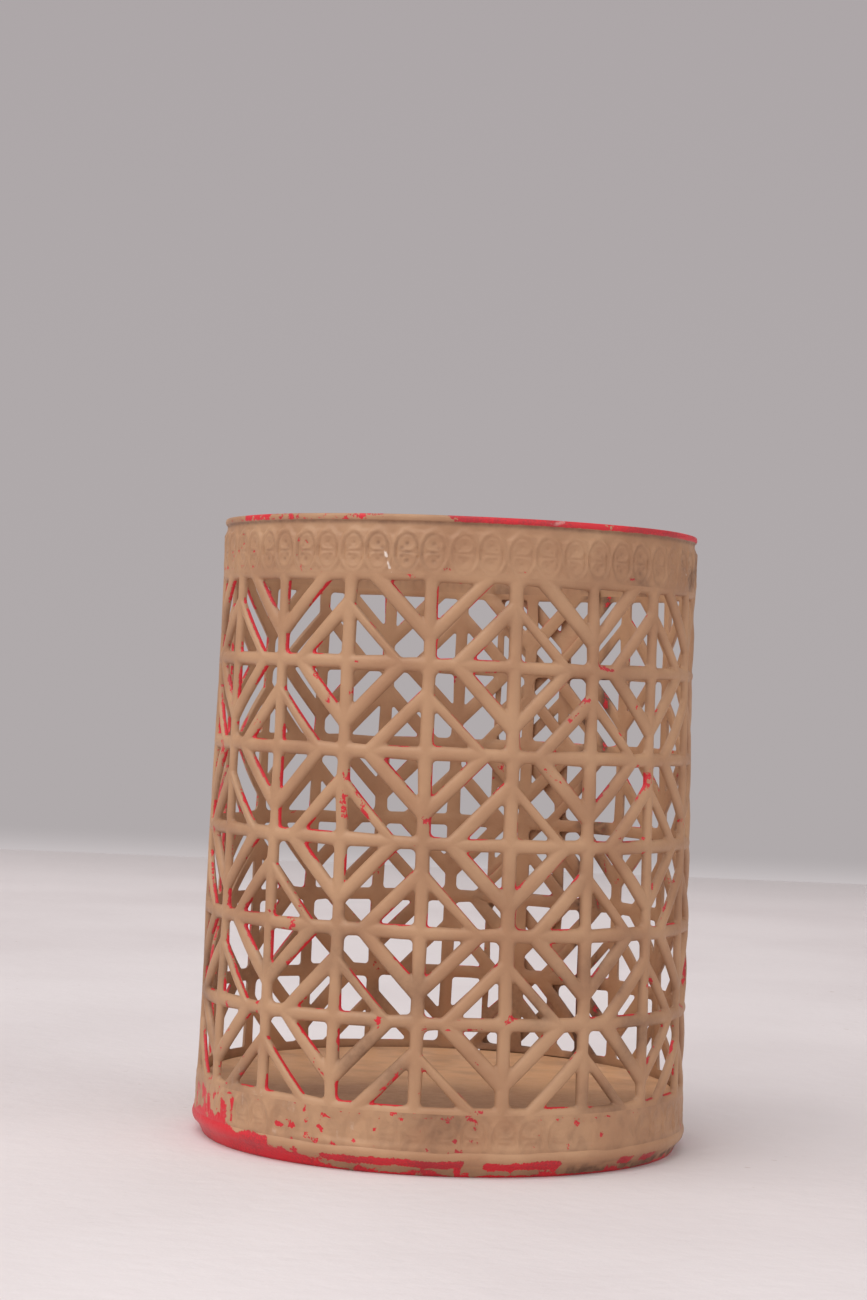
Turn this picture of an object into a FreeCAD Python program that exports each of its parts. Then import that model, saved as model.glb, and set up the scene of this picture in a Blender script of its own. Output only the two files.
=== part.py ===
"""Tealight holder: a slightly tapered tube rolled from one strip of pierced tin, on a pressed base pan.

The strip is longer than the tube's girth, so its first cells tuck in behind its last ones and make a
double seam, held by solder. All sizes are in the spreadsheet below, in millimetres and degrees.
The origin is the middle of the foot, +Z is up, and azimuths count from the front (-Y) towards +X.
"""
import FreeCAD, Part
import math
import os
import Sketcher

V = FreeCAD.Vector
TOUCHING = 1e-9
DOC = FreeCAD.newDocument("tealight_holder")

# alias: (value, what it is)
SIZES = {
    # the rolled wall
    "wall_foot_radius": (38.0, "outside of the wall, carried down to the table"),
    "wall_taper": (1.3, "how much less the wall's radius is at the rim"),
    "overall_height": (95.0, "table to rim"),
    "wall_gauge": (0.8, "tin and paint, as deep as the embossed bars"),
    "wall_start": (2.2, "cut lower edge of the strip, inside the lip"),
    "rim_tall": (1.1, "folded hem at the rim, height"),
    "groove_tall": (0.9, "groove between the raised belt and the hem"),
    "rim_proud": (0.3, "folded hem, how far it stands out"),
    "belt_proud": (0.35, "raised belt, how far it stands out"),
    # the pierced lattice
    "strip_cells": (20, "cells along the strip"),
    "overlap_cells": (1.5, "cells of the strip that lie double in the seam"),
    "row_count": (6, "rows of cells"),
    "lattice_foot": (9.1, "middle line of the lowest level bar"),
    "lattice_top": (8.68, "middle line of the highest level bar, below the rim"),
    "upright_bar": (1.9, "width of an upright bar"),
    "level_bar": (1.75, "width of a level bar"),
    "slot_width": (3.9, "width of the long slot across each cell"),
    "diagonal_bar": (1.85, "bar between the slot and a triangle"),
    # the seam
    "seam_azimuth": (169.35, "free outer end of the strip"),
    "seam_gap": (0.3, "gap between the two outer edges that meet at the seam"),
    "layer_gap": (0.1, "space between the two layers of the seam"),
    "joggle_run": (1.0, "length of the step that lets the inner layer in"),
    "tuck_clear": (0.4, "how far the inner layer stops short of the pan's floor"),
    "tack_radius": (0.7, "solder tack, radius"),
    "tack_tall": (1.4, "solder tack, height"),
    # the base pan
    "floor_rise": (9.0, "top of the floor above the table"),
    "pan_gauge": (0.5, "tin of the pan"),
    "pan_clear": (0.05, "clearance between the pan and the wall"),
    "lip_top": (3.9, "upper edge of the lip outside the wall"),
    "lip_proud": (0.6, "bead of the lip, how far it stands out of the wall"),
    "pan_corner": (1.2, "outside bend at the edge of the floor"),
}


def make_sheet():
    """Writes every size into the spreadsheet, with its alias and its meaning."""
    sheet = DOC.addObject("Spreadsheet::Sheet", "Sizes")
    for row, (alias, (value, meaning)) in enumerate(SIZES.items(), start=1):
        sheet.set(f"A{row}", alias)
        sheet.set(f"B{row}", str(value))
        sheet.set(f"C{row}", meaning)
        sheet.setAlias(f"B{row}", alias)
    DOC.recompute()
    return sheet


SHEET = make_sheet()


def value(expression):
    """The number that an expression on the sheet's sizes gives."""
    found = SHEET.evalExpression(expression)
    return float(getattr(found, "Value", found))


def origin_item(body, role):
    """One of a body's own base planes or axes."""
    return next(item for item in body.Origin.OriginFeatures if item.Role == role)


def new_body(name):
    """An empty body of the document."""
    return DOC.addObject("PartDesign::Body", name)


def new_sketch(body, name, plane):
    """An empty sketch on one of the body's base planes."""
    sketch = body.newObject("Sketcher::SketchObject", name)
    sketch.AttachmentSupport = [(origin_item(body, plane), "")]
    sketch.MapMode = "FlatFace"
    return sketch


def dimension(sketch, kind, geometry, point, expression):
    """A level or upright dimension from the sketch's origin to a point, bound to the sheet.

    A dimension has no sign, so one that points the other way is measured from the point.
    """
    size = value(expression)
    if abs(size) < TOUCHING:
        axis = -2 if kind == "DistanceX" else -1
        sketch.addConstraint(Sketcher.Constraint("PointOnObject", geometry, point, axis))
    elif size > 0:
        index = sketch.addConstraint(Sketcher.Constraint(kind, -1, 1, geometry, point, size))
        sketch.setExpression(f"Constraints[{index}]", expression)
    else:
        index = sketch.addConstraint(Sketcher.Constraint(kind, geometry, point, -1, 1, -size))
        sketch.setExpression(f"Constraints[{index}]", f"-({expression})")


def add_outline(sketch, corners):
    """A closed outline of straight sides, each corner given by a pair of expressions."""
    points = [V(value(x), value(y), 0) for x, y in corners]
    first, count = sketch.GeometryCount, len(corners)
    for start, end in zip(points, points[1:] + points[:1]):
        sketch.addGeometry(Part.LineSegment(start, end))
    for i, (x, y) in enumerate(corners):
        following = first + (i + 1) % count
        sketch.addConstraint(Sketcher.Constraint("Coincident", first + i, 2, following, 1))
        dimension(sketch, "DistanceX", first + i, 1, x)
        dimension(sketch, "DistanceY", first + i, 1, y)


def turn_sketch(sketch, azimuth, radius="0"):
    """Turns a sketch on the XZ plane about the tube's axis, and moves it out to a radius."""
    sketch.AttachmentOffset = FreeCAD.Placement(V(), FreeCAD.Rotation(V(0, 1, 0), value(azimuth)))
    sketch.setExpression("AttachmentOffset.Rotation.Angle", azimuth)
    sketch.setExpression("AttachmentOffset.Base.x", f"({radius}) * sin({azimuth})")
    sketch.setExpression("AttachmentOffset.Base.z", f"({radius}) * cos({azimuth})")


def add_sector(body, name, corners, middle, sweep):
    """A section turned about the axis through an angle, half of it to each side of an azimuth."""
    sketch = new_sketch(body, f"{name}_section", "XZ_Plane")
    turn_sketch(sketch, f"{middle} - 90")
    add_outline(sketch, corners)
    feature = body.newObject("PartDesign::Revolution", name)
    feature.Profile = sketch
    feature.ReferenceAxis = (sketch, ["V_Axis"])
    feature.Midplane = True
    feature.setExpression("Angle", sweep)
    return feature


# ---- the wall --------------------------------------------------------------------------------

CELL = "(360 / (Sizes.strip_cells - Sizes.overlap_cells))"
ROLLED_CELLS = "(Sizes.strip_cells - 2)"
LATTICE_TOP = "(Sizes.overall_height - Sizes.lattice_top)"
ROW_PITCH = f"(({LATTICE_TOP} - Sizes.lattice_foot) / Sizes.row_count)"
WALL_MIDDLE = "(Sizes.wall_foot_radius - Sizes.wall_taper / 2)"
FLATNESS = f"((1 + cos({CELL} / 2)) / 2)"
CELL_WIDE = f"(2 * {WALL_MIDDLE} * {FLATNESS} * tan({CELL} / 2))"
CELL_DIAGONAL = f"sqrt({CELL_WIDE}^2 + {ROW_PITCH}^2)"
HEM_LOW = "(Sizes.overall_height - Sizes.rim_tall)"
CUT_SPARE = "1"
ARC_ANGLE = f"(180 / pi / {WALL_MIDDLE})"


def wall_radius(height):
    """The outside of the wall at a height: it narrows evenly from foot to rim."""
    return f"(Sizes.wall_foot_radius - Sizes.wall_taper * ({height}) / Sizes.overall_height)"


def inner_radius(height):
    """The inside of the round bands."""
    return f"({wall_radius(height)} - Sizes.wall_gauge)"


def flat_inside(height):
    """The back of the flat cells. Each lies as far inside the round wall as its folded edges stand out."""
    return f"({wall_radius(height)} * {FLATNESS} - Sizes.wall_gauge)"


def tucked_radius(height, depth="0"):
    """The outside of the layer tucked in behind the flat cells, or a depth inside it."""
    return f"({flat_inside(height)} - Sizes.layer_gap - {depth})"


def lower_section():
    """The lower band, rolled straight."""
    low, top = "Sizes.wall_start", "Sizes.lattice_foot"
    outside, inside = wall_radius(low), inner_radius(low)
    return [(inside, low), (outside, low), (outside, top), (inside, top)]


def upper_section():
    """The upper band, rolled straight: raised belt, groove and folded hem."""
    low, rim = LATTICE_TOP, "Sizes.overall_height"
    belt = f"({HEM_LOW} - Sizes.groove_tall)"
    outside, inside = wall_radius(rim), inner_radius(rim)
    return [
        (inside, low),
        (f"{outside} + Sizes.belt_proud", low),
        (f"{outside} + Sizes.belt_proud", belt),
        (outside, belt),
        (outside, HEM_LOW),
        (f"{outside} + Sizes.rim_proud", HEM_LOW),
        (f"{outside} + Sizes.rim_proud", f"{rim} - Sizes.rim_proud"),
        (outside, rim),
        (inside, rim),
    ]


def open_section():
    """The full height of the strip where it is left round, between the seam and the flat cells."""
    low, top = "Sizes.lattice_foot", LATTICE_TOP
    outside = [(wall_radius(low), low), (wall_radius(top), top)]
    inside = [(inner_radius(top), top), (inner_radius(low), low)]
    return lower_section()[:2] + outside + upper_section()[1:] + inside


def layer_section(outside):
    """A plain stretch of the tucked layer, between the pan's floor and the hem."""
    low, top = "(Sizes.floor_rise + Sizes.tuck_clear)", HEM_LOW
    return [
        (tucked_radius(low, "Sizes.wall_gauge"), low),
        (outside(low), low),
        (outside(top), top),
        (tucked_radius(top, "Sizes.wall_gauge"), top),
    ]


def add_flat_cells(body, low, top):
    """The rolled stretch of the lattice, still without holes: a flat cell, repeated back along the strip.

    Each cell's front reaches as far as the folds on its two upright bars, where its neighbours' start.
    """
    cell = body.newObject("PartDesign::AdditiveWedge", "flat_cell")
    cell.AttachmentSupport = [(origin_item(body, "XZ_Plane"), "")]
    cell.MapMode = "FlatFace"
    turn_sketch(cell, f"(Sizes.seam_azimuth - {CELL} / 2)")
    for end, height, name in (("min", low, ""), ("max", top, "2")):
        back = flat_inside(height)
        front = f"({back} + Sizes.wall_gauge)"
        cell.setExpression(f"Y{end}", height)
        cell.setExpression(f"X{name}min", f"-{front} * tan({CELL} / 2)")
        cell.setExpression(f"X{name}max", f"{front} * tan({CELL} / 2)")
        cell.setExpression(f"Z{name}min", back)
        cell.setExpression(f"Z{name}max", front)
    cells = body.newObject("PartDesign::PolarPattern", "flat_cells")
    cells.Originals = [cell]
    cells.Axis = (origin_item(body, "Z_Axis"), [""])
    cells.Reversed = True
    cells.Mode = "Spacing"
    cells.setExpression("Offset", CELL)
    cells.setExpression("Occurrences", ROLLED_CELLS)
    body.Tip = cells
    return cells


def slot_corners():
    """The long slot of a cell, from its lower left to its upper right node, about the cell's middle."""
    half, rise = "Sizes.upright_bar / 2", "Sizes.level_bar / 2"
    spread = f"Sizes.slot_width / 2 * {CELL_DIAGONAL}"
    across = f"({rise} * {CELL_WIDE} + {spread}) / {ROW_PITCH}"
    up = f"({half} * {ROW_PITCH} + {spread}) / {CELL_WIDE}"
    wide, tall = CELL_WIDE, ROW_PITCH
    return [
        (half, rise),
        (across, rise),
        (f"{wide} - {half}", f"{tall} - {up}"),
        (f"{wide} - {half}", f"{tall} - {rise}"),
        (f"{wide} - {across}", f"{tall} - {rise}"),
        (half, up),
    ]


def triangle_corners():
    """The triangle in the upper left corner of a cell, its long side along the slot's bar."""
    half, rise = "Sizes.upright_bar / 2", "Sizes.level_bar / 2"
    spread = f"(Sizes.slot_width / 2 + Sizes.diagonal_bar) * {CELL_DIAGONAL}"
    up = f"({half} * {ROW_PITCH} + {spread}) / {CELL_WIDE}"
    across = f"({CELL_WIDE} - ({rise} * {CELL_WIDE} + {spread}) / {ROW_PITCH})"
    top = f"{ROW_PITCH} - {rise}"
    return [(half, up), (across, top), (half, top)]


def half_turned(corners):
    """The same outline turned half round about the cell's middle."""
    return [(f"{CELL_WIDE} - ({x})", f"{ROW_PITCH} - ({y})") for x, y in corners]


def add_cell_holes(sketch, row, rising):
    """The three holes of one cell; its neighbours beside and above are its mirror images."""
    for corners in (slot_corners(), triangle_corners(), half_turned(triangle_corners())):
        across = "({x}) - {wide} / 2" if rising else "{wide} / 2 - ({x})"
        placed = [
            (across.format(x=x, wide=CELL_WIDE), f"Sizes.lattice_foot + {row} * {ROW_PITCH} + {y}")
            for x, y in corners
        ]
        add_outline(sketch, placed)


def add_column_cut(body, name, column, rising, inside):
    """The holes of the two lowest cells of a column, cut inwards through the wall."""
    sketch = new_sketch(body, f"{name}_holes", "XZ_Plane")
    outside = f"(Sizes.wall_foot_radius + {CUT_SPARE})"
    turn_sketch(sketch, f"(Sizes.seam_azimuth - ({column} - 0.5) * {CELL})", outside)
    add_cell_holes(sketch, 0, rising)
    add_cell_holes(sketch, 1, not rising)
    pocket = body.newObject("PartDesign::Pocket", name)
    pocket.Profile = sketch
    pocket.setExpression("Length", f"{outside} - {inside} + {CUT_SPARE}")
    return pocket


def add_cells_pattern(body, cuts, column_pairs):
    """Repeats the cuts up the wall, two rows at a time, and back along the strip, two columns at a time."""
    pattern = body.newObject("PartDesign::MultiTransform", f"{body.Name}_cells")
    pattern.Originals = cuts
    rows = DOC.addObject("PartDesign::LinearPattern", f"{body.Name}_rows")
    rows.Direction = (origin_item(body, "Z_Axis"), [""])
    rows.Mode = "Spacing"
    rows.setExpression("Offset", f"2 * {ROW_PITCH}")
    rows.setExpression("Occurrences", "Sizes.row_count / 2")
    steps = [rows]
    if column_pairs:
        columns = DOC.addObject("PartDesign::PolarPattern", f"{body.Name}_columns")
        columns.Axis = (origin_item(body, "Z_Axis"), [""])
        columns.Reversed = True
        columns.Mode = "Spacing"
        columns.setExpression("Offset", f"2 * {CELL}")
        columns.setExpression("Occurrences", column_pairs)
        steps.append(columns)
    pattern.Transformations = steps
    body.Tip = pattern
    return pattern


def make_rolled_part():
    """The strip from its free outer end back to where its first two cells begin."""
    body = new_body("rolled_part")
    add_flat_cells(body, "Sizes.lattice_foot", LATTICE_TOP)
    sweep = f"({ROLLED_CELLS} * {CELL})"
    middle = f"(Sizes.seam_azimuth - {sweep} / 2)"
    add_sector(body, "lower_band", lower_section(), middle, sweep)
    add_sector(body, "upper_band", upper_section(), middle, sweep)
    inside = flat_inside("Sizes.overall_height")
    cuts = [
        add_column_cut(body, "first_column", "1", False, inside),
        add_column_cut(body, "second_column", "2", True, inside),
    ]
    add_cells_pattern(body, cuts, f"{ROLLED_CELLS} / 2")
    return body


def make_tucked_part():
    """The strip's first two cells: out in the open first, then stepped in behind its other end."""
    body = new_body("tucked_part")
    open_edge = f"(Sizes.seam_azimuth + {ARC_ANGLE} * Sizes.seam_gap)"
    joggle = f"({ARC_ANGLE} * Sizes.joggle_run)"
    joined = f"(Sizes.seam_azimuth + 360 - {ROLLED_CELLS} * {CELL})"
    inner_end = f"(Sizes.seam_azimuth + 360 - Sizes.strip_cells * {CELL})"
    open_middle = f"(({open_edge} + {joined}) / 2)"
    add_sector(body, "open_sheet", open_section(), open_middle, f"{joined} - {open_edge}")
    add_sector(body, "joggle", layer_section(inner_radius), f"({open_edge} + {joggle} / 2)", joggle)
    tuck_sweep = f"({open_edge} + {joggle} - {inner_end})"
    tuck_middle = f"({inner_end} + {tuck_sweep} / 2)"
    add_sector(body, "tucked_sheet", layer_section(tucked_radius), tuck_middle, tuck_sweep)
    inside = f"({tucked_radius('Sizes.overall_height', 'Sizes.wall_gauge')} * cos({CELL} / 2))"
    cuts = [
        add_column_cut(body, "open_column", "(Sizes.strip_cells - 1)", False, inside),
        add_column_cut(body, "tucked_column", "Sizes.strip_cells", True, inside),
    ]
    add_cells_pattern(body, cuts, None)
    return body


def make_pierced_wall():
    """The whole strip, rolled round and joined into one solid."""
    wall = DOC.addObject("Part::MultiFuse", "pierced_wall")
    wall.Shapes = [make_rolled_part(), make_tucked_part()]
    return wall


# ---- the base pan ----------------------------------------------------------------------------


def pan_section():
    """Half of the pressed pan: raised floor, skirt inside the wall down to the table, and outer lip."""
    gauge, rise, corner = "Sizes.pan_gauge", "Sizes.floor_rise", "Sizes.pan_corner"
    start, lip_top = "Sizes.wall_start", "Sizes.lip_top"
    skirt = f"({flat_inside(rise)} - Sizes.pan_clear)"
    bead = f"{wall_radius(start)} + Sizes.lip_proud"
    lip_inside = f"{wall_radius(start)} + Sizes.pan_clear"
    return [
        ("0", f"{rise} - {gauge}"),
        (f"{skirt} - {corner}", f"{rise} - {gauge}"),
        (f"{skirt} - {gauge}", f"{rise} - {corner}"),
        (f"{skirt} - {gauge}", "0"),
        (skirt, "0"),
        (f"{bead} - Sizes.lip_proud / 2", start),
        (bead, f"({start} + {lip_top}) / 2"),
        (f"{bead} - Sizes.lip_proud / 2", lip_top),
        (lip_inside, lip_top),
        (lip_inside, f"{start} - Sizes.pan_clear"),
        (skirt, f"{start} - Sizes.pan_clear"),
        (skirt, f"{rise} - {corner}"),
        (f"{skirt} - {corner}", rise),
        ("0", rise),
    ]


def make_base_pan():
    """The pan, its section turned all the way round."""
    body = new_body("base_pan")
    add_sector(body, "pressed_pan", pan_section(), "90", "360")
    return body


# ---- the solder ------------------------------------------------------------------------------


def make_tack(row):
    """A drop of solder on a level bar, in the corner that the tucked end makes with the outer layer."""
    tack = DOC.addObject("Part::Cylinder", f"tack_{row}")
    tack.setExpression("Radius", "Sizes.tack_radius")
    tack.setExpression("Height", "Sizes.tack_tall")
    height = f"(Sizes.lattice_foot + {row} * {ROW_PITCH})"
    azimuth = f"(Sizes.seam_azimuth - Sizes.strip_cells * {CELL})"
    tack.setExpression("Placement.Base.x", f"{tucked_radius(height)} * sin({azimuth})")
    tack.setExpression("Placement.Base.y", f"-{tucked_radius(height)} * cos({azimuth})")
    tack.setExpression("Placement.Base.z", f"{height} - Sizes.tack_tall / 2")
    return tack


def make_seam_solder():
    """The drops of solder, shaped by the two layers of sheet that they fill the corner of."""
    drops = DOC.addObject("Part::Compound", "drops")
    drops.Links = [make_tack(row) for row in range(1, int(value("Sizes.row_count")) + 1)]
    clear_of_outer = DOC.addObject("Part::Cut", "drops_on_outer_layer")
    clear_of_outer.Base = drops
    clear_of_outer.Tool = DOC.getObject("upper_band")
    solder = DOC.addObject("Part::Cut", "seam_solder")
    solder.Base = clear_of_outer
    solder.Tool = DOC.getObject("tucked_sheet")
    return solder


# ---- checks and files ------------------------------------------------------------------------


def check(pieces):
    """Stops if any object of the document has failed or a piece isn't a sound solid."""
    for item in DOC.Objects:
        faults = {"Invalid", "Error"} & set(item.State)
        if faults:
            raise RuntimeError(f"{item.Label}: {', '.join(faults)}")
    for piece in pieces:
        shape = piece.Shape
        if shape.isNull() or not shape.isValid() or not shape.Solids:
            raise RuntimeError(f"{piece.Label}: no valid solid")
        print(f"{piece.Label}: {len(shape.Solids)} solids, {len(shape.Faces)} faces, {shape.Volume:.1f} mm3")


def write(pieces):
    """One STEP file for each piece, named after it."""
    os.makedirs("parts", exist_ok=True)
    for piece in pieces:
        piece.Shape.exportStep(f"parts/{piece.Label}.step")


def main():
    wall = make_pierced_wall()
    pieces = [wall, make_base_pan(), make_seam_solder()]
    DOC.recompute()
    check(pieces)
    write(pieces)


main()
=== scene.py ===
"""Looks for the tealight holder: a tube of pierced tin on a pressed pan, in worn sand paint over red.

Lengths of the holder are in millimetres until they are put into a mesh, and those of the finishes, the
stage, the lamps and the camera are in metres. A place on the wall is given along the strip in cells,
from its tucked end (0) to its free end (20), and up from the table. Azimuths count from the front
towards +X.
"""
import math

import bmesh
import bpy
import numpy as np
from mathutils import Matrix, Vector


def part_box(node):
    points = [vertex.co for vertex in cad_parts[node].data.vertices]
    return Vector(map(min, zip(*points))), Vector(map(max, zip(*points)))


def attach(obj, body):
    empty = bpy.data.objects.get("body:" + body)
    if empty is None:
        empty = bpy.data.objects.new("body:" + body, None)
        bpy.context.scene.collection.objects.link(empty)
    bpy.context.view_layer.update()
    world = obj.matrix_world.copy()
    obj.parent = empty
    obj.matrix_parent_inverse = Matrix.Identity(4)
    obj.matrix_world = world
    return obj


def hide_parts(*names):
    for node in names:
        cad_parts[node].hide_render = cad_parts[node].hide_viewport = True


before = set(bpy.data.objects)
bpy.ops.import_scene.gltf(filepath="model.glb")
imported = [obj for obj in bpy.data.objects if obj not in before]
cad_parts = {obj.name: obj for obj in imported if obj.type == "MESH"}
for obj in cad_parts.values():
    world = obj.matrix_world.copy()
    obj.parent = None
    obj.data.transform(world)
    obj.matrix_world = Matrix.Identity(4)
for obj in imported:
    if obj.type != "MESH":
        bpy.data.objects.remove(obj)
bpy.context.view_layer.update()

MM = 0.001
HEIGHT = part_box("pierced_wall")[1][2] / MM

# the wall
WALL_FOOT_RADIUS = 38.0
WALL_RIM_RADIUS = 36.7
GAUGE = 0.75
LAYER_STEP = 0.85
CELLS = 20
OVERLAP_CELLS = 1.5
ROWS = 6
ROW_PITCH = 12.87
LATTICE_FOOT = 9.1
LATTICE_TOP = LATTICE_FOOT + ROWS * ROW_PITCH
SEAM_AZIMUTH = 169.35
CELL_DEGREES = 360 / (CELLS - OVERLAP_CELLS)
CELL_WIDE = math.radians(CELL_DEGREES) * (WALL_FOOT_RADIUS + WALL_RIM_RADIUS) / 2
LEAN_DEGREES = -1.0

# the bars
UPRIGHT_BAR = 2.05
LEVEL_BAR = 2.0
SLOT_WIDTH = 3.65
DIAGONAL_BAR = 2.05
CROWN = 0.2
SLOT_CORNERS = [0.8] * 6
TRIANGLE_CORNERS = [0.26, 0.26, 0.55]
# in every second cell the slot's lower left side lies further out, and its other side moves after it
SLOT_SHIFT = 0.55
FAR_SHARE = 0.3
UNEVEN = 0.08


# ---- fields on the wall ------------------------------------------------------------------------


def smooth(low, high, x):
    """0 below low, 1 above high, and an S-curve between: 3t squared less 2t cubed."""
    t = np.clip((x - low) / (high - low), 0, 1)
    return t * t * (3 - 2 * t)


def cloud(x, y, size, seed):
    """Smooth random values from 0 to 1: random heights on a slanting grid, blended by S-curves."""
    table = np.random.default_rng(seed).random((64, 64))
    slant, x, y = 0.5 + 0.37 * seed, np.asarray(x) / size, np.asarray(y) / size
    gx, gy = x * math.cos(slant) - y * math.sin(slant), x * math.sin(slant) + y * math.cos(slant)
    ix, iy = np.floor(gx).astype(int), np.floor(gy).astype(int)
    fx, fy = smooth(0, 1, gx - ix), smooth(0, 1, gy - iy)
    low = table[ix % 64, iy % 64] * (1 - fx) + table[(ix + 1) % 64, iy % 64] * fx
    high = table[ix % 64, (iy + 1) % 64] * (1 - fx) + table[(ix + 1) % 64, (iy + 1) % 64] * fx
    return low * (1 - fy) + high * fy


def ridge(distance, width):
    """A soft raised line: 1 on the line, falling off as a bell curve."""
    return np.exp(-((distance / width) ** 2))


def wall_radius(z):
    """The wall narrows evenly from the table to the rim."""
    return WALL_FOOT_RADIUS + (WALL_RIM_RADIUS - WALL_FOOT_RADIUS) * z / HEIGHT


def azimuth_of(s, z):
    """Degrees round from the front; the uprights lean by a degree over the height of the wall."""
    return SEAM_AZIMUTH + (s - CELLS) * CELL_DEGREES + LEAN_DEGREES * (z / HEIGHT - 0.5)


def front_azimuth(s, z):
    """The same, from -180 to 180."""
    return (azimuth_of(s, z) + 180) % 360 - 180


def layer_shift(s):
    """The first cell and a half lies a layer further in, and a short step brings it out."""
    return -LAYER_STEP * (1 - smooth(OVERLAP_CELLS + 0.03, OVERLAP_CELLS + 0.16, s))


def place(s, z, lift):
    """Points on the wall: the radius at that height, plus lift, layer and a slight hand-made waver."""
    azimuth = azimuth_of(s, z)
    angle = np.radians(azimuth)
    waver = 0.16 * np.sin(2 * angle + 0.6) + 0.09 * np.sin(5 * angle + z / 31)
    waver = waver + 0.10 * np.sin(angle * 11 + z / 9)
    radius = wall_radius(z) + lift + layer_shift(s) + waver * smooth(2, 20, z)
    return np.stack([radius * np.sin(angle), -radius * np.cos(angle), z + 0 * radius], -1)


# ---- meshes ------------------------------------------------------------------------------------


def make_mesh(name, points, faces, fields):
    """A smooth-shaded object in metres, with one number per vertex for every named field."""
    mesh = bpy.data.meshes.new(name)
    mesh.from_pydata((points * MM).tolist(), [], faces.tolist())
    for field, values in fields.items():
        layer = mesh.attributes.new(field, "FLOAT", "POINT")
        layer.data.foreach_set("value", np.ascontiguousarray(values, dtype=np.float32).ravel())
    mesh.shade_smooth()
    piece = bpy.data.objects.new(name, mesh)
    bpy.context.collection.objects.link(piece)
    return piece


def grid_faces(rows, columns, first=0, close_rows=False, close_columns=False):
    """Four-sided faces of a grid of points stored row by row, closed round either way if asked."""
    i = np.arange(rows if close_rows else rows - 1)
    j = np.arange(columns if close_columns else columns - 1)
    i, j = np.meshgrid(i, j, indexing="ij")
    i2, j2 = (i + 1) % rows, (j + 1) % columns
    quads = np.stack([i * columns + j, i * columns + j2, i2 * columns + j2, i2 * columns + j], -1)
    return quads.reshape(-1, 4) + first


def finish_mesh(piece, bridge):
    """Merges doubled points, closes the rim of the sheet if asked, and turns every face outwards."""
    work = bmesh.new()
    work.from_mesh(piece.data)
    bmesh.ops.remove_doubles(work, verts=work.verts, dist=0.01 * MM)
    if bridge:
        edges = [edge for edge in work.edges if edge.is_boundary]
        bmesh.ops.bridge_loops(work, edges=edges)
    bmesh.ops.recalc_face_normals(work, faces=work.faces)
    work.to_mesh(piece.data)
    work.free()
    shade(piece)
    return piece


def shade(piece):
    """Smooth shading, broken where the sheet is cut square."""
    piece.data.shade_smooth()
    piece.data.set_sharp_from_angle(angle=math.radians(60))


# ---- the lattice -------------------------------------------------------------------------------


def corner_fractions(count):
    """Where the points of one side of a hole lie on the bar's middle line: closer towards its ends."""
    ends = np.array([0.0, 0.07, 0.17])
    middle = np.linspace(0.17, 0.83, count - 3)[1:-1]
    return np.concatenate([ends, middle, [0.83, 0.93]])


def turned_halves(hole, radius):
    """Half arcs at every corner of an outline: its middle, quarter and tangent points, both ways.

    The arc's middle lies on the corner's bisector, at radius / sin(half the corner's angle), less radius.
    """
    ahead = np.roll(hole, -1, axis=1) - hole
    behind = np.roll(hole, 1, axis=1) - hole
    ahead /= np.linalg.norm(ahead, axis=2, keepdims=True)
    behind /= np.linalg.norm(behind, axis=2, keepdims=True)
    bisector = ahead + behind
    bisector /= np.linalg.norm(bisector, axis=2, keepdims=True)
    cosine = np.clip((ahead * bisector).sum(2, keepdims=True), 0.05, 0.999)
    sine = np.sqrt(1 - cosine**2)
    radius = radius[..., None]
    centre = hole + bisector * radius / sine
    reach = radius * cosine / sine
    middle = centre - bisector * radius

    def half(direction):
        tangent = hole + direction * reach
        between = (middle + tangent) / 2 - centre
        between *= radius / np.linalg.norm(between, axis=2, keepdims=True)
        return centre + between, tangent

    return middle, half(ahead), half(behind)


def ring(region, hole, counts, radius):
    """The points of a hole's rounded outline and, matching them, those of the bars' middle lines.

    region is one outline of corners, and hole one per cell, with as many corners.
    """
    middle, (quarter_on, tangent_on), (quarter_back, tangent_back) = turned_halves(hole, radius)
    inner, outer = [], []
    corners = len(counts)
    for side, count in enumerate(counts):
        after = (side + 1) % corners
        straight = np.linspace(0, 1, count - 3)[1:-1, None, None]
        start, end = tangent_on[:, side], tangent_back[:, after]
        inner += [middle[:, side], quarter_on[:, side], start]
        inner += list(start + (end - start) * straight)
        inner += [end, quarter_back[:, after]]
        fraction = corner_fractions(count)[:, None]
        outer.append(region[side] + (region[after] - region[side]) * fraction)
    return np.stack(inner, 1), np.concatenate(outer)


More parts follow.
